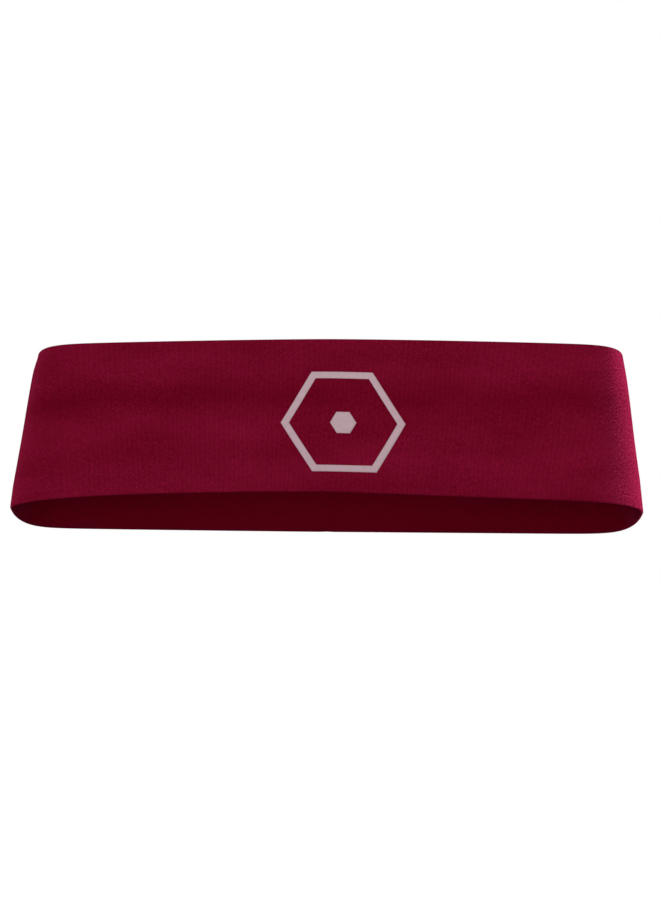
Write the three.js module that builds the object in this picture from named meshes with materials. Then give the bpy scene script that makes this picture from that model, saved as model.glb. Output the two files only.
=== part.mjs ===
// A wide double-layer knitted sports headband, standing on its lower rim the way up that it is worn.
// Millimetres, +Z up. The front faces -Y and the wearer's seam is at the centre back, on +Y.
// The origin is the centre of the bounding box's bottom face.
import * as THREE from "three";

// ---- Driving dimensions -------------------------------------------------------------------------
const HEIGHT = 62.8;
// Seen from above, each wall lies at its depth from the loop's widest line, bows in towards both
// sides, and closes in a rounded end. A greater power makes the end squarer.
const WIDEST_Y = -1.4;
const LOWER_RIM = {
  halfWidth: 120,
  front: { depth: 23.1, bow: 0.47, power: 10 },
  back: { depth: 25.5, bow: 0.03, power: 22 },
};
const UPPER_RIM = {
  halfWidth: 113.1,
  front: { depth: 18.7, bow: 0.34, power: 23 },
  back: { depth: 21, bow: 0.1, power: 14 },
};
const GAP = 0.3; // clearance between neighbouring pieces

const OUTER_CLOTH = 1.0; // thickness of one layer of the face knit
const LINING_CLOTH = 0.9;
const FACING_HEIGHT = 18; // how far the face knit is turned in over each rim
const RIM_WALL = 1.3; // thickness of the fold at each rim
const RIM_ROUND = 0.4; // inset of the flat on each folded rim
const RIM_SHOULDER = 0.12; // inset of the point halfway round the fold

const SEAM_WIDTH = 3.5; // width of the flat stitching that covers a join
const THREAD = 0.4; // thickness of a band of stitching
const BACK_SEAM_WIDTH = 5;
const BACK_SEAM_MARGIN = 2; // from the outer seam's ends to the rims

const EMBLEM_X = 5.7;
const EMBLEM_Z = 28.3;
const EMBLEM_RADIUS = 23.5; // centre to corner
const EMBLEM_STROKE = 2.8;
const EMBLEM_CORE_RADIUS = 5;
const FILM = 0.3; // thickness of the transferred film

const LABEL_WIDTH = 22;
const LABEL_LENGTH = 20.5;
const LABEL_CLOTH = 0.6;
const LABEL_X = 19;
const LABEL_DROP = 0.8; // from the stitching above to the label's top edge

const STATIONS = 120; // points round the loop
const ANGLE_STEP = 0.001; // radians to either side of a point, for the wall's direction there

// ---- Worked out from them -----------------------------------------------------------------------
const WALL = OUTER_CLOTH + GAP + LINING_CLOTH;
const LOWER_JOIN = FACING_HEIGHT;
const UPPER_JOIN = HEIGHT - FACING_HEIGHT;
const STITCH_INSET = WALL + GAP;
const LABEL_INSET = STITCH_INSET + THREAD;
const LABEL_TOP = UPPER_JOIN - SEAM_WIDTH / 2 - LABEL_DROP;

// ---- The loop's wall ----------------------------------------------------------------------------
// The front wall (side "front") or the back one (side "back") at a height.
function sectionAt(side, z) {
  const mix = (low, high) => THREE.MathUtils.lerp(low, high, z / HEIGHT);
  const low = LOWER_RIM[side];
  const high = UPPER_RIM[side];
  return {
    halfWidth: mix(LOWER_RIM.halfWidth, UPPER_RIM.halfWidth),
    depth: mix(low.depth, high.depth),
    bow: mix(low.bow, high.bow),
    power: mix(low.power, high.power),
  };
}

// The wall's y at a share of the half width, before any inset.
function wallY(side, share, { depth, bow, power }) {
  const here = depth * (1 - bow * share ** 1.5) * Math.sqrt(1 - share ** power);
  return WIDEST_Y + (side === "front" ? -here : here);
}

// The point of the outer surface at an angle round the loop.
function outlinePoint(angle, z) {
  const side = Math.sin(angle) < 0 ? "front" : "back";
  const section = sectionAt(side, z);
  const share = Math.abs(Math.cos(angle));
  const x = section.halfWidth * Math.cos(angle);
  return new THREE.Vector2(x, wallY(side, share, section));
}

// The same point, inset at right angles to the outer surface.
function loopPoint(angle, inset, z) {
  const point = outlinePoint(angle, z);
  const before = outlinePoint(angle - ANGLE_STEP, z);
  const along = outlinePoint(angle + ANGLE_STEP, z).sub(before).normalize();
  return new THREE.Vector3(point.x - along.y * inset, point.y + along.x * inset, z);
}

// The point at a sideways place on the front or the back wall.
function wallPoint(side, x, inset, z) {
  const section = sectionAt(side, z);
  const y = wallY(side, Math.abs(x) / section.halfWidth, section);
  return new THREE.Vector3(x, side === "front" ? y + inset : y - inset, z);
}

function geometryFrom(points, triangles) {
  const geometry = new THREE.BufferGeometry();
  geometry.setFromPoints(points);
  geometry.setIndex(triangles);
  return geometry;
}

// A closed ring: a profile of [inset, z] points carried round the loop.
// The profile runs up the outer side and down the inner side.
function ring(profile) {
  const points = [];
  const triangles = [];
  const sides = profile.length;
  for (let station = 0; station < STATIONS; station += 1) {
    const angle = (2 * Math.PI * station) / STATIONS;
    const here = station * sides;
    const next = ((station + 1) % STATIONS) * sides;
    profile.forEach(([inset, z], i) => {
      const j = (i + 1) % sides;
      points.push(loopPoint(angle, inset, z));
      triangles.push(here + i, next + i, next + j, here + i, next + j, here + j);
    });
  }
  return geometryFrom(points, triangles);
}

// A thin piece lying on the front or back wall: a flat outline in x and z, given a thickness towards
// -Y and bent on to the wall. inset is the depth of its face nearer the outside of the loop.
function patch(side, outline, inset, thickness) {
  const solid = new THREE.ExtrudeGeometry(outline, { depth: thickness, bevelEnabled: false });
  const position = solid.attributes.position;
  for (let i = 0; i < position.count; i += 1) {
    const through = position.getZ(i);
    const depth = side === "front" ? inset + thickness - through : inset + through;
    const bent = wallPoint(side, position.getX(i), depth, position.getY(i));
    position.setXYZ(i, bent.x, bent.y, bent.z);
  }
  return solid;
}

function rectangle(x, z, width, height) {
  const corners = [
    [-1, -1],
    [1, -1],
    [1, 1],
    [-1, 1],
  ];
  return new THREE.Shape(
    corners.map(([i, k]) => new THREE.Vector2(x + (i * width) / 2, z + (k * height) / 2)),
  );
}

function hexagon(x, z, radius) {
  const corners = Array.from({ length: 6 }, (_, i) => {
    const angle = (i * Math.PI) / 3;
    return new THREE.Vector2(x + radius * Math.cos(angle), z + radius * Math.sin(angle));
  });
  return new THREE.Shape(corners);
}

// ---- The pieces ---------------------------------------------------------------------------------
// The face knit: the outer wall, folded over both rims and turned in as a facing behind each.
function outerShell() {
  const rim = [
    [RIM_WALL, 2 * RIM_ROUND],
    [RIM_WALL - RIM_SHOULDER, RIM_ROUND / 2],
    [RIM_WALL - RIM_ROUND, 0],
    [RIM_ROUND, 0],
    [RIM_SHOULDER, RIM_ROUND / 2],
    [0, 2 * RIM_ROUND],
  ];
  const upperRim = rim.map(([inset, z]) => [inset, HEIGHT - z]).reverse();
  return ring([
    ...rim,
    [0, HEIGHT / 2],
    ...upperRim,
    [WALL, UPPER_JOIN],
    [OUTER_CLOTH, UPPER_JOIN],
    [OUTER_CLOTH, LOWER_JOIN],
    [WALL, LOWER_JOIN],
  ]);
}

function innerLining() {
  return ring([
    [OUTER_CLOTH + GAP, LOWER_JOIN + GAP],
    [OUTER_CLOTH + GAP, UPPER_JOIN - GAP],
    [WALL, UPPER_JOIN - GAP],
    [WALL, LOWER_JOIN + GAP],
  ]);
}

// The flat stitching that holds a facing's edge to the lining.
function facingStitching(z) {
  const low = z - SEAM_WIDTH / 2;
  const high = z + SEAM_WIDTH / 2;
  return ring([
    [STITCH_INSET, low],
    [STITCH_INSET, high],
    [STITCH_INSET + THREAD, high],
    [STITCH_INSET + THREAD, low],
  ]);
}

// The flat seam that closes the face knit into a loop, on the outside of the centre back.
function backSeamStitching() {
  const outline = rectangle(0, HEIGHT / 2, BACK_SEAM_WIDTH, HEIGHT - 2 * BACK_SEAM_MARGIN);
  return patch("back", outline, -GAP - FILM, FILM);
}

// The flat seam that closes the lining, between the two facings' stitching.
function liningSeamStitching() {
  const height = UPPER_JOIN - LOWER_JOIN - SEAM_WIDTH - 2 * GAP;
  return patch("back", rectangle(0, HEIGHT / 2, BACK_SEAM_WIDTH, height), STITCH_INSET, THREAD);
}

function emblemRing() {
  const outline = hexagon(EMBLEM_X, EMBLEM_Z, EMBLEM_RADIUS);
  const innerRadius = EMBLEM_RADIUS - EMBLEM_STROKE / Math.cos(Math.PI / 6);
  outline.holes.push(hexagon(EMBLEM_X, EMBLEM_Z, innerRadius));
  return patch("front", outline, -GAP - FILM, FILM);
}

function emblemCore() {
  return patch("front", hexagon(EMBLEM_X, EMBLEM_Z, EMBLEM_CORE_RADIUS), -GAP - FILM, FILM);
}

function careLabel() {
  const outline = rectangle(LABEL_X, LABEL_TOP - LABEL_LENGTH / 2, LABEL_WIDTH, LABEL_LENGTH);
  return patch("back", outline, LABEL_INSET, LABEL_CLOTH);
}

const faceKnit = { color: 0x6b0923, roughness: 0.95, metalness: 0 };
const liningKnit = { color: 0x5a0820, roughness: 0.95, metalness: 0 };
const thread = { color: 0x64081f, roughness: 0.7, metalness: 0 };
const film = { color: 0xa88f96, roughness: 0.5, metalness: 0 };
const satin = { color: 0xe9e4e2, roughness: 0.45, metalness: 0 };

const pieces = [
  ["outer_shell", outerShell(), faceKnit],
  ["inner_lining", innerLining(), liningKnit],
  ["upper_facing_stitching", facingStitching(UPPER_JOIN), thread],
  ["lower_facing_stitching", facingStitching(LOWER_JOIN), thread],
  ["back_seam_stitching", backSeamStitching(), thread],
  ["lining_seam_stitching", liningSeamStitching(), thread],
  ["emblem_ring", emblemRing(), film],
  ["emblem_core", emblemCore(), film],
  ["care_label", careLabel(), satin],
];

const headband = new THREE.Group();
for (const [name, geometry, finish] of pieces) {
  const mesh = new THREE.Mesh(geometry, new THREE.MeshStandardMaterial(finish));
  mesh.name = name;
  headband.add(mesh);
}

export default headband;
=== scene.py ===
"""A wide knitted sports headband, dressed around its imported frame.

The loop stands on its lower rim with its front towards -Y. One strip of face knit is folded over
both rims, a lining fills the space between its two facings, and flat stitching joins them.
"""
import math

import bpy
import numpy as np
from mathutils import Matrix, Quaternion, Vector

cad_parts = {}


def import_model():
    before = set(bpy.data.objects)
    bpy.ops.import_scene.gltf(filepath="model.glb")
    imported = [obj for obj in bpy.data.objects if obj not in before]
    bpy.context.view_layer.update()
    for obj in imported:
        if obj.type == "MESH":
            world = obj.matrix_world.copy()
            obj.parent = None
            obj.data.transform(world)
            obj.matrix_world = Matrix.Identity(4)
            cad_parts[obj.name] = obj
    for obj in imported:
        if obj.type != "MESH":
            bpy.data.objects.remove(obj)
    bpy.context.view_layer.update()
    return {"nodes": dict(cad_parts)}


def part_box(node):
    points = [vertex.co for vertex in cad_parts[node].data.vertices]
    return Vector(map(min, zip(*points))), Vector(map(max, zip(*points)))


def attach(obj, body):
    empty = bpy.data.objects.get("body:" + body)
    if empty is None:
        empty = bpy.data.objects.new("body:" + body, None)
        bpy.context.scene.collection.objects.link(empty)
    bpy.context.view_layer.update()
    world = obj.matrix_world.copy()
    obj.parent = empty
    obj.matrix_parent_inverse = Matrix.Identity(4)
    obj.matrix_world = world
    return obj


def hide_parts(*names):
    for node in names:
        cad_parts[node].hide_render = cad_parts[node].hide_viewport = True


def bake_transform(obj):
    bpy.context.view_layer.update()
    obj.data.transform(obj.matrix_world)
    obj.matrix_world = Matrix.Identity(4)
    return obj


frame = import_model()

MM = 0.001

# ---- Sizes, in millimetres ----------------------------------------------------------------------
SHELL = np.array([vertex.co[:] for vertex in frame["nodes"]["outer_shell"].data.vertices]) / MM
HEIGHT = SHELL[:, 2].max()
SHOULDER = 0.8  # how far up the frame's rounded rim reaches
WIDEST_Y = -1.4  # where the loop is widest
# How the loop's section departs from a box, in each quarter, at the lower and at the upper rim:
# how far the wall bows in towards the end, and the power that its rounded end follows.
QUARTERS = {
    ("front", "right"): [(0.50, 16), (0.33, 21)],
    ("front", "left"): [(0.45, 6), (0.30, 20)],
    ("back", "right"): [(0.0, 21), (0.1, 14)],
    ("back", "left"): [(0.07, 23), (0.1, 14)],
}

WALL = 2.2  # from the outer surface to the inner one, at the joins
RIM_WALL = 1.05  # the same at the folded rims
FACE_CLOTH = 0.5
LINING_CLOTH = 0.6
JOIN_GAP = 0.15  # between the lining's edges and the facings'
FACING = 18.0  # how far the face knit is turned in over each rim
UPPER_JOIN = HEIGHT - FACING
UPPER_LEAN = 1.0  # how much higher the upper rim is at its right end than in its middle

WALE = 0.95  # pitch of the face knit's columns of stitches
COURSE = 0.75  # pitch of its rows

# The soft cloth's departures from the plain loop, outwards where positive.
WAIST = -1.7  # at the lower rim, towards the front's right
CORNER_DRAWN_IN = -1.3  # at the upper rim, at the left end
RIGHT_END = (-0.25, 0.4)  # at the right end: at the lower rim, and from a fifth of the way up
FOLD = -0.7  # depth of the long soft folds round the loop
WAVES = [  # unevenness: (size, waves round the loop, phase, drift of the phase up the wall)
    (0.16, 3, 1.1, 2.4),
    (0.12, 7, 0.4, -3.1),
    (0.07, 13, 2.2, 4.0),
]
SEAM_GROOVE = -0.35
SEAM_GROOVE_WIDTH = 1.6
PUCKER = 0.12
PUCKER_PITCH = 5.2
PUCKER_WIDTH = 7


def reach(z):
    """How far the frame's plain wall reaches at a height: to the right, the front and the back."""
    level = SHELL[np.isclose(SHELL[:, 2], z, atol=0.01)]
    return np.array([level[:, 0].max(), WIDEST_Y - level[:, 1].min(), level[:, 1].max() - WIDEST_Y])


SLOPE = (reach(HEIGHT - SHOULDER) - reach(SHOULDER)) / (HEIGHT - 2 * SHOULDER)
LOWER_RIM = reach(SHOULDER) - SLOPE * SHOULDER
UPPER_RIM = LOWER_RIM + SLOPE * HEIGHT


# ---- The loop's wall ----------------------------------------------------------------------------
# A place on the cloth is (u, z, inset): u is the share of the way round from the centre back, seen
# from above and going clockwise, z is the height, and inset is the depth inside the outer surface.
def outline(z, count=4096):
    """Points round the loop at a height, their outward normals, and each one's length so far."""
    share = z / HEIGHT
    half_width, front_depth, back_depth = LOWER_RIM + (UPPER_RIM - LOWER_RIM) * share
    angle = np.pi / 2 - np.linspace(0, 2 * np.pi, count + 1)
    across, along = np.cos(angle), np.sin(angle)
    bow, power = np.zeros_like(angle), np.zeros_like(angle)
    for (side, end), (low, high) in QUARTERS.items():
        here = ((along < 0) == (side == "front")) & ((across >= 0) == (end == "right"))
        bow[here] = low[0] + (high[0] - low[0]) * share
        power[here] = low[1] * (high[1] / low[1]) ** share
    depth = np.where(along < 0, -front_depth, back_depth)
    depth = depth * (1 - bow * np.abs(across) ** 1.5) * np.sqrt(1 - np.abs(across) ** power)
    points = np.stack([half_width * across, WIDEST_Y + depth], axis=1)
    points[-1] = points[0]
    ahead = np.roll(points[:-1], -1, axis=0) - np.roll(points[:-1], 1, axis=0)
    normals = np.stack([-ahead[:, 1], ahead[:, 0]], axis=1)
    normals /= np.linalg.norm(normals, axis=1, keepdims=True)
    normals = np.concatenate([normals, normals[:1]])
    return points, normals, lengths(points)


def lengths(path):
    """The distance along a path at each of its points."""
    steps = np.linalg.norm(np.diff(np.asarray(path, float), axis=0), axis=1)
    return np.concatenate([[0], np.cumsum(steps)])


LEVELS = 33
COLUMNS = 2048
OUTLINES = [outline(z) for z in np.linspace(0, HEIGHT, LEVELS)]
PERIMETER = float(np.mean([length[-1] for _, _, length in OUTLINES]))
WALL_TABLE = np.array(
    [
        [
            np.interp(np.linspace(0, length[-1], COLUMNS + 1), length, column)
            for column in (*points.T, *normals.T)
        ]
        for points, normals, length in OUTLINES
    ]
)


def on_wall(u, z):
    """Point and outward normal on the plain outer surface."""
    column = np.mod(u, 1.0) * COLUMNS
    level = np.clip(z / HEIGHT, 0, 1) * (LEVELS - 1)
    i = np.minimum(column.astype(int), COLUMNS - 1)
    j = np.minimum(level.astype(int), LEVELS - 2)
    s, t = column - i, level - j
    found = (
        WALL_TABLE[j, :, i] * ((1 - s) * (1 - t))[..., None]
        + WALL_TABLE[j, :, i + 1] * (s * (1 - t))[..., None]
        + WALL_TABLE[j + 1, :, i] * ((1 - s) * t)[..., None]
        + WALL_TABLE[j + 1, :, i + 1] * (s * t)[..., None]
    )
    return found[..., :2], found[..., 2:]


def hill(value, centre, width):
    """1 where value is at the centre, falling smoothly to 0 on either side."""
    return np.exp(-(((value - centre) / width) ** 2))


def swell(u, z):
    """How far the soft cloth stands out from the plain loop."""
    u = np.mod(u, 1.0)
    turn = 2 * np.pi * u
    h = z / HEIGHT
    waist = WAIST * hill(u, 0.41, 0.09) * (1 - h)
    corner = CORNER_DRAWN_IN * hill(u, 0.75, 0.03) * hill(z, HEIGHT, 5)
    right_end = np.interp(h, (0, 0.2), RIGHT_END) * hill(u, 0.25, 0.03)
    uneven = sum(
        size * np.sin(count * turn + phase + drift * h) for size, count, phase, drift in WAVES
    )
    on_broad_walls = 0.1 + 0.9 * np.cos(turn) ** 2
    fold = FOLD * on_broad_walls * np.cos(2 * np.pi * (h - 0.42) / 0.7)
    held = np.clip(np.minimum(h, 1 - h) / 0.14, 0, 1)  # 0 at the rims, which hold the cloth true
    from_seam = (np.mod(u + 0.5, 1.0) - 0.5) * PERIMETER
    groove = SEAM_GROOVE * hill(from_seam, 0, SEAM_GROOVE_WIDTH)
    pucker = PUCKER * np.sin(2 * np.pi * z / PUCKER_PITCH) * hill(from_seam, 0, PUCKER_WIDTH)
    return right_end + waist + corner + groove + (uneven + fold + pucker) * held


def place(u, z, inset):
    """The point in metres of a place on the cloth."""
    u, z, inset = np.broadcast_arrays(*(np.asarray(value, float) for value in (u, z, inset)))
    point, normal = on_wall(u, z)
    flat = point + normal * (swell(u, z) - inset)[..., None]
    lifted = z + UPPER_LEAN * flat[..., 0] / UPPER_RIM[0] * z / HEIGHT
    return np.concatenate([flat, lifted[..., None]], axis=-1) * MM


def along_courses(u, z):
    """How far along the knit's rows a place is, in mm. The columns stand upright at the front."""
    levels = np.linspace(0, HEIGHT, LEVELS)
    round_at = np.interp(z, levels, [length[-1] for _, _, length in OUTLINES])
    return PERIMETER / 2 + (u - 0.5) * round_at


def share_at(x, side):
    """The share of the way round at a sideways place on the "front" or the "back" wall."""
    middle = {"back": 0.0, "front": 0.5}[side]
    shares = middle + np.linspace(-0.24, 0.24, 2001)  # nearly to the loop's two ends
    sideways = on_wall(shares, np.full_like(shares, HEIGHT / 2))[0][:, 0]
    order = np.argsort(sideways)
    return np.interp(x, sideways[order], shares[order])


# ---- Mesh helpers -------------------------------------------------------------------------------
def mesh_object(name, points, faces, uvs=None):
    """A smooth-shaded object with its faces turned outwards. uvs holds one pair per face corner."""
    mesh = bpy.data.meshes.new(name)
    mesh.from_pydata(np.reshape(points, (-1, 3)).tolist(), [], faces)
    mesh.polygons.foreach_set("use_smooth", [True] * len(mesh.polygons))
    if uvs is not None:
        mesh.uv_layers.new(name="cloth").data.foreach_set("uv", np.ravel(uvs))
    made = bpy.data.objects.new(name, mesh)
    bpy.context.scene.collection.objects.link(made)
    return made


def grid_object(name, points, us, vs, closed=False):
    """A sheet through a grid of points. us holds each row's or each point's u, vs each column's v."""
    rows, columns = points.shape[:2]
    us = np.broadcast_to(np.reshape(us, (len(us), -1)), (len(us), columns))
    faces, uvs = [], []
    for i in range(rows if closed else rows - 1):
        k = (i + 1) % rows
        for j in range(columns - 1):
            faces.append([i * columns + j, k * columns + j, k * columns + j + 1, i * columns + j + 1])
            corners = [(i, j), (i + 1, j), (i + 1, j + 1), (i, j + 1)]
            uvs += [(us[row, column], vs[column]) for row, column in corners]
    return mesh_object(name, points, faces, uvs)


def thicken(piece, thickness):
    """Gives a sheet its thickness, half on each side."""
    modifier = piece.modifiers.new("thickness", "SOLIDIFY")
    modifier.thickness = thickness * MM
    modifier.offset = 0
    modifier.use_even_offset = True
    bpy.context.view_layer.objects.active = piece
    bpy.ops.object.modifier_apply(modifier=modifier.name)


def cloth_ring(name, profile, thickness, stations=560):
    """A closed ring of cloth. profile is the middle of its thickness, as (inset, z) points."""
    profile = np.asarray(profile)
    around = np.arange(stations)[:, None] / stations
    points = place(around, profile[None, :, 1], profile[None, :, 0])
    us = along_courses(np.arange(stations + 1)[:, None] / stations, profile[None, :, 1])
    cloth = grid_object(name, points, us, lengths(profile), closed=True)
    thicken(cloth, thickness)
    return cloth


def arc(centre, radius, start, end, steps):
    """Points of an arc in the (inset, z) plane, between two angles in degrees."""
    angles = np.radians(np.linspace(start, end, steps))
    return [(centre[0] + radius * np.cos(a), centre[1] + radius * np.sin(a)) for a in angles]


def tube(path, radius, sides=6, closed=False):
    """Points and faces of a tube along a path of points in metres. The radius is in millimetres."""
    count = len(path)
    ahead = np.roll(path, -1, axis=0) - np.roll(path, 1, axis=0)
    if not closed:
        ahead[0] = path[1] - path[0]
        ahead[-1] = path[-1] - path[-2]
    ahead /= np.linalg.norm(ahead, axis=1, keepdims=True)
    # The section is squared to a direction that no stitch lies along: very nearly +Y or -Y, whichever
    # points from a short stitch into the loop.
    to_middle = np.array([-np.mean(path[:, 0]) / 20, 1.0 if np.mean(path[:, 1]) < 0 else -1.0, 0.0])
    side = np.cross(ahead, to_middle)
    side /= np.linalg.norm(side, axis=1, keepdims=True)
    up = np.cross(side, ahead)
    turn = (2 * np.pi * np.arange(sides) / sides)[None, :, None]
    outwards = np.cos(turn) * side[:, None] + np.sin(turn) * up[:, None]
    points = path[:, None] + radius * MM * outwards
    faces = []
    for i in range(count if closed else count - 1):
        k = (i + 1) % count
        for j in range(sides):
            m = (j + 1) % sides
            faces.append([i * sides + j, k * sides + j, k * sides + m, i * sides + m])
    if not closed:
        faces.append(list(range(sides)))
        faces.append(list(reversed(range((count - 1) * sides, count * sides))))
    return points.reshape(-1, 3), faces


def tubes_object(name, tubes):
    """One object out of several tubes."""
    points, faces, start = [], [], 0
    for tube_points, tube_faces in tubes:
        points.append(tube_points)
        faces += [[corner + start for corner in face] for face in tube_faces]
        start += len(tube_points)
    return mesh_object(name, np.concatenate(points), faces)


# ---- Materials ----------------------------------------------------------------------------------
class Shader:
    """A node material that short calls build up."""

    def __init__(self, name):
        self.material = bpy.data.materials.new(name)
        self.material.use_nodes = True
        self.tree = self.material.node_tree
        self.tree.nodes.clear()
        self.surface = self.add("ShaderNodeBsdfPrincipled")
        self.output = self.add("ShaderNodeOutputMaterial")
        self.feed(self.output.inputs["Surface"], self.surface.outputs[0])

    def add(self, kind, inputs=(), **settings):
        node = self.tree.nodes.new(kind)
        for key, value in settings.items():
            setattr(node, key, value)
        for key, value in dict(inputs).items():
            self.feed(node.inputs[key], value)
        return node

    def feed(self, socket, value):
        if isinstance(value, bpy.types.NodeSocket):
            self.tree.links.new(value, socket)
        elif isinstance(value, tuple) and len(value) == 3 and socket.type == "RGBA":
            socket.default_value = (*value, 1.0)
        else:
            socket.default_value = value

    def set(self, **inputs):
        for key, value in inputs.items():
            self.feed(self.surface.inputs[key.replace("_", " ")], value)

    def math(self, operation, *values):
        node = self.add("ShaderNodeMath", operation=operation)
        for socket, value in zip(node.inputs, values):
            self.feed(socket, value)
        return node.outputs[0]

    def sum(self, *terms):
        """The sum of (weight, value) terms."""
        total = 0.0
        for weight, value in terms:
            total = self.math("MULTIPLY_ADD", value, weight, total)
        return total

    def cloth(self):
        """The cloth's own u and v, in millimetres."""
        place_on_cloth = self.add("ShaderNodeUVMap", uv_map="cloth").outputs[0]
        parts = self.add("ShaderNodeSeparateXYZ", {"Vector": place_on_cloth})
        return parts.outputs[0], parts.outputs[1]

    def noise(self, u, v, u_size, v_size, detail=2.0, roughness=0.5):
        """A noise value about 0.5, with features of the given sizes along u and v."""
        spot = self.add(
            "ShaderNodeCombineXYZ",
            {"X": self.math("DIVIDE", u, u_size), "Y": self.math("DIVIDE", v, v_size)},
        )
        inputs = {"Vector": spot.outputs[0], "Scale": 1.0, "Detail": detail, "Roughness": roughness}
        return self.add("ShaderNodeTexNoise", inputs).outputs["Fac"]

    def mix(self, factor, a, b):
        node = self.add("ShaderNodeMix", data_type="RGBA")
        for key, value in (("Factor_Float", factor), ("A_Color", a), ("B_Color", b)):
            self.feed(next(i for i in node.inputs if i.identifier == key), value)
        return next(o for o in node.outputs if o.identifier == "Result_Color")

    def ramp(self, value, low, high):
        """value, stretched so that low becomes 0 and high becomes 1."""
        inputs = {"Value": value, "From Min": low, "From Max": high}
        return self.add("ShaderNodeMapRange", inputs).outputs["Result"]

    def hill(self, value, centre, width):
        """1 where value is at the centre, falling smoothly to 0 on either side."""
        off = self.math("DIVIDE", self.math("SUBTRACT", value, centre), width)
        return self.math("POWER", math.e, self.math("MULTIPLY", self.math("MULTIPLY", off, off), -1.0))

    def bump(self, height, distance, strength=1.0):
        inputs = {"Height": height, "Distance": distance * MM, "Strength": strength}
        return self.add("ShaderNodeBump", inputs).outputs[0]


def jersey(shader, u, v, wale, course):
    """The relief of a plain jersey, from 0 to 1: columns of V-shaped stitches."""
    v_depth = 1.6  # how far a V's point lies below its ends, in rows, for each column's width
    column = shader.math("FRACT", shader.math("DIVIDE", u, wale))
    off = shader.math("ABSOLUTE", shader.math("SUBTRACT", column, 0.5))
    limb = shader.math("SINE", shader.math("MULTIPLY", off, 2 * math.pi))
    row = shader.math("FRACT", shader.sum((1 / course, v), (-v_depth, off)))
    loop = shader.math("SINE", shader.math("MULTIPLY", row, math.pi))
    return shader.math("MULTIPLY", limb, shader.sum((0.5, shader.math("SQRT", loop)), (0.5, 1.0)))


def knit_material(
    name, deep, light, wale, course, relief, sheen, painted_light_bands=(), painted_end_sheen=None, facing_painted_shade=None
):
    """Brushed jersey: stitches, columns of uneven yarn, cloudy tone, and a sheen of loose fibres.

    painted_light_bands holds (place along v, width, change of tone) for each lighter band of painted
    light and each darker band of painted shade.
    painted_end_sheen is the (place along u, width, colour) of a painted sheen: pale flecks of pile
    where light grazes the end.
    facing_painted_shade is the (middle along v, reach to either side, colour) beyond which the cloth
    is a facing; there the darker, redder colour is painted shade and painted red bounce light inside
    the loop.
    """
    shader = Shader(name)
    u, v = shader.cloth()
    wandering = shader.sum((1.0, u), (1.0, shader.noise(u, v, 16.0, 50.0)))
    stitches = jersey(shader, wandering, v, wale, course)
    # Each column's yarn has a strip of noise to itself, this far along u from the next one's.
    apart = 7.3
    column = shader.math("FLOOR", shader.math("DIVIDE", wandering, wale))
    yarn = shader.noise(shader.math("MULTIPLY", column, apart), v, 1.0, 1.4, 2.0)
    fibres = shader.noise(u, v, 0.25, 1.0, 2.0, 0.7)
    specks = shader.ramp(shader.noise(u, v, 0.28, 0.9), 0.6, 0.8)
    clouds = shader.noise(u, v, 34.0, 13.0, 1.0)
    # The nap makes the fuzz stronger in some patches than in others.
    patches = shader.ramp(shader.noise(u, v, 38.0, 17.0, 1.0), 0.35, 0.65)
    nap = shader.sum((0.5, 1.0), (1.0, patches))
    fuzz = shader.sum((0.55, fibres), (0.4, specks), (-0.3, 1.0))
    # The stitches' share also darkens the gaps between the stitches: painted shade in the knit's
    # hollows.
    tone = shader.sum((0.25, yarn), (0.38, stitches), (0.2, clouds), (nap, fuzz), (0.02, 1.0))
    # Painted light and shade: each band lightens or darkens the tone all round the loop.
    for centre, width, change in painted_light_bands:
        tone = shader.sum((1.0, tone), (change, shader.hill(v, centre, width)))
    colour = shader.mix(shader.ramp(tone, 0.3, 0.8), deep, light)
    # A painted sheen: pale flecks of pile that stand for light grazing the right end.
    if painted_end_sheen:
        centre, width, pale = painted_end_sheen
        tufts = shader.ramp(shader.noise(u, v, 0.42, 0.75, 2.0, 0.6), 0.46, 0.74)
        cover = shader.math("MINIMUM", shader.sum((1.1, shader.hill(u, centre, width))), 0.75)
        colour = shader.mix(shader.math("MULTIPLY", cover, tufts), colour, pale)
    # The facings, turned into the loop, take a darker, redder colour: painted shade and painted bounce
    # light.
    if facing_painted_shade:
        middle, edge, flat = facing_painted_shade
        off = shader.math("ABSOLUTE", shader.math("SUBTRACT", v, middle))
        behind = shader.ramp(off, edge, edge + RIM_WALL)
        colour = shader.mix(shader.math("MULTIPLY", behind, 0.65), colour, flat)
    shader.set(
        Base_Color=colour,
        Roughness=shader.ramp(fibres, -1.5, 1.2),
        Normal=shader.bump(shader.sum((1.0, stitches), (0.5, fibres), (0.5, yarn)), relief),
        Specular_IOR_Level=0.0,
        Sheen_Weight=sheen,
        Sheen_Roughness=0.3,
        Sheen_Tint=(1.0, 0.10, 0.30),
    )
    return shader.material


def film_material():
    """Heat-transferred film: satin, with the knit faintly showing through it."""
    shader = Shader("film")
    u, v = shader.cloth()
    stitches = jersey(shader, u, v, WALE, COURSE)
    mottle = shader.noise(u, v, 2.0, 2.0, 4.0, 0.6)
    grain = shader.noise(u, v, 0.16, 0.16)
    colour = shader.mix(shader.ramp(mottle, 0.3, 0.7), (0.38, 0.262, 0.292), (0.43, 0.305, 0.335))
    shader.set(
        Base_Color=shader.mix(shader.math("MULTIPLY", stitches, 0.15), colour, (0.30, 0.17, 0.20)),
        Roughness=shader.ramp(grain, -0.9, 1.6),
        Normal=shader.bump(stitches, 0.04, 0.6),
        Specular_IOR_Level=0.3,
    )
    return shader.material


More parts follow.
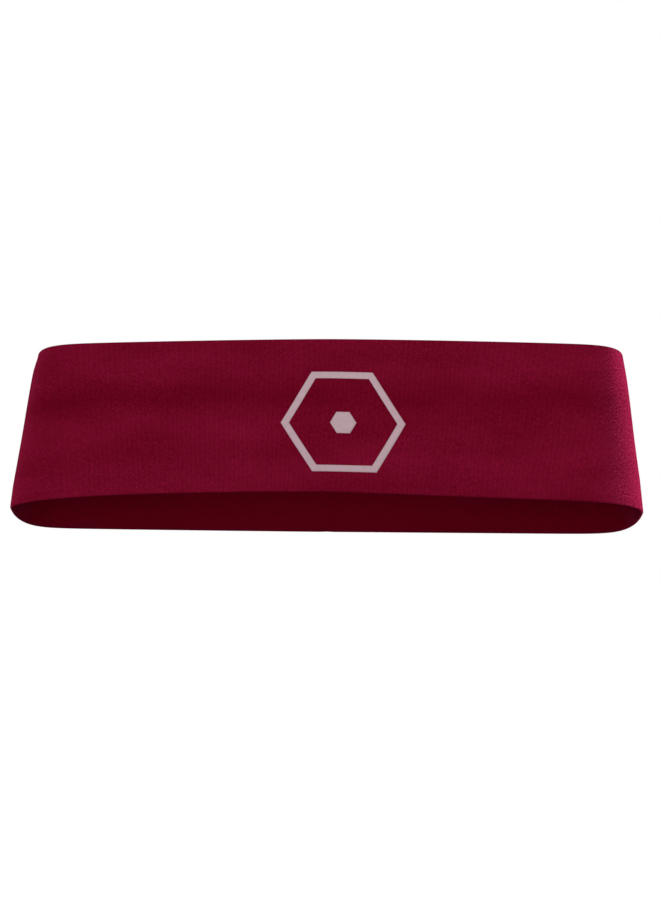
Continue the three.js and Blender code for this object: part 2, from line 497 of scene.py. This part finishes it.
def thread_material():
    """Twisted polyester thread."""
    shader = Shader("thread")
    spot = shader.add("ShaderNodeTexCoord").outputs["Object"]
    twist = shader.add("ShaderNodeTexWave", {"Vector": spot, "Scale": 900.0, "Distortion": 2.0})
    uneven = shader.add("ShaderNodeTexNoise", {"Vector": spot, "Scale": 400.0})
    shader.set(
        Base_Color=shader.mix(twist.outputs["Fac"], (0.075, 0.0012, 0.009), (0.19, 0.004, 0.026)),
        Roughness=shader.ramp(uneven.outputs["Fac"], -0.6, 1.4),
        Normal=shader.bump(twist.outputs["Fac"], 0.05, 0.7),
        Specular_IOR_Level=0.15,
        Sheen_Weight=0.2,
        Sheen_Tint=(1.0, 0.2, 0.4),
    )
    return shader.material


def satin_material():
    """Blank woven satin tape: fine ribs across, slightly glossy."""
    shader = Shader("satin")
    u, v = shader.cloth()
    weft_pitch, warp_pitch = 0.22, 0.3
    weft = shader.math("SINE", shader.math("MULTIPLY", v, 2 * math.pi / weft_pitch))
    warp = shader.math("SINE", shader.math("MULTIPLY", u, 2 * math.pi / warp_pitch))
    weave = shader.math("MULTIPLY", weft, warp)
    soil = shader.noise(u, v, 7.0, 7.0, 3.0)
    colour = shader.mix(shader.ramp(soil, 0.3, 0.75), (0.80, 0.77, 0.75), (0.70, 0.66, 0.65))
    shader.set(
        Base_Color=shader.mix(shader.ramp(weave, -1.0, 3.0), colour, (0.60, 0.56, 0.56)),
        Roughness=shader.ramp(weft, -4.0, 4.0),
        Normal=shader.bump(weave, 0.03, 0.5),
        Sheen_Weight=0.1,
    )
    return shader.material


# The face knit's v runs from the lower facing's edge, round the lower rim at 18, up the outside and
# round the upper rim at 80, to the upper facing's edge. Its middle is halfway up the outside.
STRIP_MIDDLE = 49.2
# Where the painted sheen of pale flecks lies:
PAINTED_SHEEN_AT = 0.272 * PERIMETER  # just to the front of the right end
FACE_KNIT = knit_material(
    "face_knit",
    deep=(0.085, 0.0003, 0.0055),
    light=(0.258, 0.0078, 0.038),
    wale=WALE,
    course=COURSE,
    relief=0.10,
    sheen=0.18,
    # Painted shade in a dark band a little above halfway up the outside, where a soft fold turns from
    # the light; painted light low on the outside and on the lower facing inside the loop.
    painted_light_bands=[(57, 6, -0.09), (27, 7, 0.03), (8, 8, 0.08)],
    # Painted sheen of pale flecks near the right end.
    painted_end_sheen=(PAINTED_SHEEN_AT, 9, (0.38, 0.028, 0.11)),
    # Painted shade and painted red bounce light on both facings inside the loop.
    facing_painted_shade=(STRIP_MIDDLE, HEIGHT / 2, (0.188, 0.0003, 0.0098)),
)
LINING_KNIT = knit_material(
    "lining_knit",
    deep=(0.07, 0.0002, 0.004),
    light=(0.19, 0.0030, 0.026),
    wale=0.6,
    course=0.5,
    relief=0.07,
    sheen=0.09,
)
THREAD = thread_material()
FILM = film_material()
SATIN = satin_material()


def dress(piece, material, node, body="band"):
    """Gives a piece its finish, hides the CAD node that it stands for, and hangs it on the body that
    it rides on, if it has one.
    """
    piece.data.materials.append(material)
    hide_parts(node)
    if body:
        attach(piece, body)


# ---- The pieces ---------------------------------------------------------------------------------
def face_cloth():
    """The face knit: one ply outside, folded over both rims, with a facing behind each."""
    outside = FACE_CLOTH / 2
    middle, radius = RIM_WALL / 2, (RIM_WALL - FACE_CLOTH) / 2
    rows = np.linspace(middle, HEIGHT - middle, 40)[1:-1]
    facing_rows = np.linspace(FACING, middle, 10)[:-1]
    inside = np.interp(facing_rows, (middle, FACING), (RIM_WALL, WALL)) - FACE_CLOTH / 2
    facing = list(zip(inside, facing_rows))
    profile = (
        facing
        + arc((middle, middle), radius, 0, -180, 9)
        + [(outside, z) for z in rows]
        + arc((middle, HEIGHT - middle), radius, 180, 0, 9)
        + [(inset, HEIGHT - z) for inset, z in facing[::-1]]
    )
    cloth = cloth_ring("face_cloth", profile, FACE_CLOTH)
    dress(cloth, FACE_KNIT, "outer_shell")
    return cloth


def lining_cloth():
    """The lining, level with the facings, from one to the other."""
    low, high = FACING + JOIN_GAP, UPPER_JOIN - JOIN_GAP
    profile = [(WALL - LINING_CLOTH / 2, z) for z in np.linspace(low, high, 18)]
    cloth = cloth_ring("lining_cloth", profile, LINING_CLOTH)
    dress(cloth, LINING_KNIT, "inner_lining")
    return cloth


def facing_stitches(name, node, z, seed):
    """A flat coverstitch round the loop: a zigzag thread between two rows of needle thread."""
    pitch, half_width = 2.4, 1.5
    zigzag_radius, needle_radius = 0.2, 0.17
    row_offset = 0.55 * half_width
    zigzag_lift, row_lift, rise = 0.15, 0.02, 0.22  # off the inner surface, towards the middle
    count = int(PERIMETER / pitch)
    corners = np.arange(2 * count + 1)
    uneven = np.random.default_rng(seed).uniform(-0.12, 0.12, 2 * count + 1)
    heights = z + half_width * np.where(corners % 2, 1, -1) + uneven
    heights[-1] = heights[0]
    steps = np.arange(6 * count) / (6 * count)
    zigzag = place(steps, np.interp(steps * 2 * count, corners, heights), WALL + zigzag_lift)
    tubes = [tube(zigzag, zigzag_radius, closed=True)]
    arch = row_lift + rise * np.sin(np.linspace(0, np.pi, 5))
    for side in (-1, 1):
        for stitch in range(count):
            along = (stitch + np.linspace(0.08, 0.92, 5)) / count
            row = place(along, z + side * row_offset, WALL + arch)
            tubes.append(tube(row, needle_radius, 5))
    stitches = tubes_object(name, tubes)
    dress(stitches, THREAD, node)
    return stitches


def flat_seam(name, node, low, high, base, outward, seed):
    """A flatlock seam up the centre back: leaning rungs of thread across three upright rows.

    base is the inset of its foot. outward is 1 where it stands out of the loop, and -1 where it stands
    into it.
    """
    pitch, half_width = 1.6, 2.2
    rung_radius, row_radius = 0.19, 0.16
    half_stitch = 0.42 * pitch
    rng = np.random.default_rng(seed)
    count = int((high - low) / pitch)
    across = np.linspace(-1, 1, 7)
    rung_rise = 0.22 * np.sqrt(np.sin(np.linspace(0, np.pi, 7)))
    row_rise = 0.3 * np.sin(np.linspace(0, np.pi, 5))
    tubes = []
    for i in range(count):
        z = low + (i + 0.5) * (high - low) / count
        lean = rng.uniform(0.2, 0.45)
        rung = place(across * half_width / PERIMETER, z + lean * across, base - outward * rung_rise)
        tubes.append(tube(rung, rung_radius))
        up = np.linspace(z - half_stitch, z + half_stitch, 5)
        for side in (-1, 0, 1):
            row = place(side * half_width * 0.8 / PERIMETER, up, base - outward * row_rise)
            tubes.append(tube(row, row_radius, 5))
    stitches = tubes_object(name, tubes)
    dress(stitches, THREAD, node)
    return stitches


def hexagon(centre, radius, count):
    """Points round a hexagon that stands on a flat side, corners included."""
    turn = 2 * np.pi * np.arange(count) / count
    distance = radius * np.cos(np.pi / 6) / np.cos(np.mod(turn, np.pi / 3) - np.pi / 6)
    return centre + distance[:, None] * np.stack([np.cos(turn), np.sin(turn)], axis=1)


def film_piece(name, node, centre, outer, inner=0.0):
    """A thin film hexagon, or a hexagonal ring, stuck to the front of the cloth.

    It is made of loops from the inside out, each at a radius and an inset. A full hexagon is closed by
    a fan of triangles within its first loop, on top, and another within its last, in the cloth.
    """
    count, height, bevel, bite = 144, 0.16, 0.10, 0.05
    start = inner + bevel if inner else outer / 5
    loops = [(radius, -height) for radius in np.linspace(start, outer - bevel, 6)]
    loops.append((outer, bite))
    if inner:
        loops.insert(0, (inner, bite))
    points, places = [], []
    for radius, inset in loops:
        flat = hexagon(centre, radius, count)
        share = share_at(flat[:, 0], "front")
        points.append(place(share, flat[:, 1], inset))
        places.append(np.stack([along_courses(share, flat[:, 1]), flat[:, 1]], axis=-1))
    faces = []
    for j in range(len(loops)):
        k = (j + 1) % len(loops)
        if k or inner:
            for i in range(count):
                m = (i + 1) % count
                faces.append([j * count + i, k * count + i, k * count + m, j * count + m])
    if not inner:
        hub = share_at(centre[:1], "front")
        middle = len(loops) * count
        for first_corner, inset in ((0, -height), ((len(loops) - 1) * count, bite)):
            points.append(place(hub, centre[1:], inset))
            places.append(np.stack([along_courses(hub, centre[1:]), centre[1:]], axis=-1))
            for i in range(count):
                faces.append([middle, first_corner + i, first_corner + (i + 1) % count])
            middle += 1
    points, places = np.concatenate(points), np.concatenate(places)
    film = mesh_object(name, points, faces, [places[corner] for face in faces for corner in face])
    dress(film, FILM, node)
    return film


def care_label():
    """A blank satin label folded double, hanging from its sewn top edge inside the back."""
    low, high = (np.array(corner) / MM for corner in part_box("care_label"))
    ply, fold = 0.16, 0.28  # the cloth's thickness, and the radius of the fold at the foot
    sewn_in = 1.6  # how far its top reaches up over the stitching
    stand = WALL + 0.55  # inset of the ply nearer the wall
    top, bottom = high[2] + sewn_in, low[2] + fold
    rows = np.linspace(top, bottom, 22)
    bow = 0.35 * np.sin(np.pi * (top - rows) / (top - bottom))
    profile = (
        list(zip(stand + bow, rows))
        + arc((stand + fold, bottom), fold, 180, 360, 7)[1:-1]
        + list(zip(stand + 2 * fold + bow[::-1], rows[::-1]))
    )
    profile = np.array(profile)
    across = np.linspace(low[0], high[0], 24)
    curl = 0.25 * np.linspace(-1, 1, len(across)) ** 2
    shares = share_at(across, "back")
    points = place(shares[:, None], profile[None, :, 1], profile[None, :, 0] + curl[:, None])
    label = grid_object("care_label_cloth", points, across, lengths(profile))
    thicken(label, ply)
    dress(label, SATIN, "care_label", body=None)
    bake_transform(label)
    return label


def outward_faces(piece):
    """Turns a closed mesh's faces to point out."""
    bpy.context.view_layer.objects.active = piece
    piece.select_set(True)
    bpy.ops.object.mode_set(mode="EDIT")
    bpy.ops.mesh.select_all(action="SELECT")
    bpy.ops.mesh.normals_make_consistent(inside=False)
    bpy.ops.object.mode_set(mode="OBJECT")
    piece.select_set(False)


EMBLEM_BOX = [np.array(corner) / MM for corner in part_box("emblem_ring")]
EMBLEM_CENTRE = ((EMBLEM_BOX[0] + EMBLEM_BOX[1]) / 2)[[0, 2]]
EMBLEM_RADIUS = (EMBLEM_BOX[1][0] - EMBLEM_BOX[0][0]) / 2
EMBLEM_STROKE = 3.2  # measured along a line from the centre to a corner
EMBLEM_INNER = EMBLEM_RADIUS - EMBLEM_STROKE
CORE_RADIUS = 5.0
SEAM_MARGIN = 1.5  # from the outer seam's ends to the rims
LINING_SEAM_MARGIN = 2  # from the lining seam's ends to the joins

PIECES = [
    face_cloth(),
    lining_cloth(),
    facing_stitches("facing_stitches_upper", "upper_facing_stitching", UPPER_JOIN, seed=3),
    facing_stitches("facing_stitches_lower", "lower_facing_stitching", FACING, seed=5),
    flat_seam("back_seam", "back_seam_stitching", SEAM_MARGIN, HEIGHT - SEAM_MARGIN, -0.05, 1, seed=7),
    flat_seam(
        "lining_seam",
        "lining_seam_stitching",
        FACING + LINING_SEAM_MARGIN,
        UPPER_JOIN - LINING_SEAM_MARGIN,
        WALL + 0.05,
        -1,
        seed=9,
    ),
    film_piece("emblem_ring_film", "emblem_ring", EMBLEM_CENTRE, EMBLEM_RADIUS, EMBLEM_INNER),
    film_piece("emblem_core_film", "emblem_core", EMBLEM_CENTRE, CORE_RADIUS),
    care_label(),
]
for piece in PIECES:
    outward_faces(piece)


# ---- Floor, light and camera --------------------------------------------------------------------
def floor():
    """A plain pale floor that fades out far from the loop.

    A camera below it sees through it, and lamps below it shine through it.
    """
    fade_start, fade_end = 0.3, 1.4  # metres from the middle
    corners = [(-4, -4, 0), (4, -4, 0), (4, 4, 0), (-4, 4, 0)]
    ground = mesh_object("floor", corners, [[0, 1, 2, 3]])
    ground.location.z = -0.2 * MM
    ground.visible_shadow = False
    shader = Shader("floor")
    shader.set(Base_Color=(0.9, 0.9, 0.9), Roughness=0.9)
    seen = shader.add("ShaderNodeNewGeometry").outputs
    away = shader.add("ShaderNodeVectorMath", operation="LENGTH")
    shader.feed(away.inputs[0], seen["Position"])
    faded = shader.ramp(away.outputs["Value"], fade_start, fade_end)
    clear = shader.add("ShaderNodeBsdfTransparent")
    mixed = shader.add("ShaderNodeMixShader")
    shader.feed(mixed.inputs[0], shader.math("MAXIMUM", faded, seen["Backfacing"]))
    shader.feed(mixed.inputs[1], shader.surface.outputs[0])
    shader.feed(mixed.inputs[2], clear.outputs[0])
    shader.feed(shader.output.inputs["Surface"], mixed.outputs[0])
    ground.data.materials.append(shader.material)


def world(as_seen, as_light):
    """An even white surround, dimmer as a light than it looks."""
    made = bpy.data.worlds.new("studio")
    made.use_nodes = True
    tree = made.node_tree
    seen = tree.nodes.new("ShaderNodeLightPath").outputs["Is Camera Ray"]
    strength = tree.nodes.new("ShaderNodeMapRange")
    tree.links.new(seen, strength.inputs["Value"])
    strength.inputs["To Min"].default_value = as_light
    strength.inputs["To Max"].default_value = as_seen
    background = tree.nodes["Background"]
    background.inputs["Color"].default_value = (1.0, 1.0, 1.0, 1.0)
    tree.links.new(strength.outputs["Result"], background.inputs["Strength"])
    bpy.context.scene.world = made


def area_light(name, stand, aim, size, watts):
    """A rectangular lamp of a width and height, standing at one place and aimed at another."""
    light = bpy.data.lights.new(name, "AREA")
    light.shape = "RECTANGLE"
    light.size, light.size_y = size
    light.energy = watts
    lamp = bpy.data.objects.new(name, light)
    lamp.location = stand
    lamp.rotation_euler = (Vector(aim) - Vector(stand)).to_track_quat("-Z", "Y").to_euler()
    bpy.context.scene.collection.objects.link(lamp)


def camera():
    """The camera looks up at the front from 20 degrees below the lower rim."""
    elevation = math.radians(-20)
    roll = math.radians(0.48)
    distance = 1.1
    aim = Vector((0.9, WIDEST_Y, 24.6)) * MM
    data = bpy.data.cameras.new("camera")
    data.lens = 115.4
    data.sensor_width = 36
    made = bpy.data.objects.new("camera", data)
    away = Vector((0.0, -math.cos(elevation), math.sin(elevation)))
    made.location = aim + away * distance
    turned = away.to_track_quat("Z", "Y") @ Quaternion((0, 0, 1), roll)
    made.rotation_euler = turned.to_euler()
    bpy.context.scene.collection.objects.link(made)
    bpy.context.scene.camera = made


MIDDLE = (0, 0, HEIGHT / 2 * MM)
floor()
world(as_seen=1.0, as_light=0.8)
area_light("key", (-0.7, -1.0, 1.0), MIDDLE, (0.9, 0.9), 3)
area_light("under", (-0.1, -1.1, -0.45), MIDDLE, (0.7, 0.7), 4.5)
# The two lamps at the ends stand wholly above the floor, so that none of their light shines straight
# in under the rim.
area_light("side", (1.1, 0.42, 0.1), (0.1, 0, HEIGHT / 2 * MM), (0.3, 0.16), 26)
area_light("left", (-1.1, 0.42, 0.1), (-0.1, 0, HEIGHT / 2 * MM), (0.3, 0.16), 4)
camera()
bpy.context.scene.view_settings.view_transform = "Standard"
